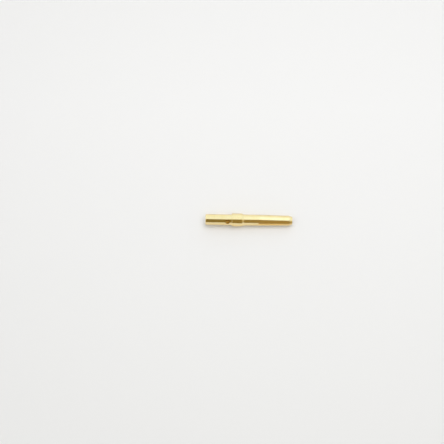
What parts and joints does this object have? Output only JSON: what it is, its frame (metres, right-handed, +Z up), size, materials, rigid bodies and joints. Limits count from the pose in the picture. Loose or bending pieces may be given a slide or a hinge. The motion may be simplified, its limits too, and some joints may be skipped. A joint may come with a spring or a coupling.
{
  "type": "socket contact",
  "caption": "Turned crimp socket contact of a circular connector, gold plated, with a slotted pin socket, a collar and a crimp barrel with an inspection hole.",
  "frame": {"origin": "centre of the overall box on the contact's axis, at the height of the collar's underside", "axes": "+X along the contact's axis towards the pin socket's mouth, +Z up as it lies, -Y towards the side that holds the inspection hole"},
  "size_m": [0.021, 0.0032, 0.0031],
  "materials": {
    "gold_plating": "bright gold plating over fine turning marks"
  },
  "bodies": {
    "root": {"socket_contact": "gold_plating"}
  },
  "joints": []
}
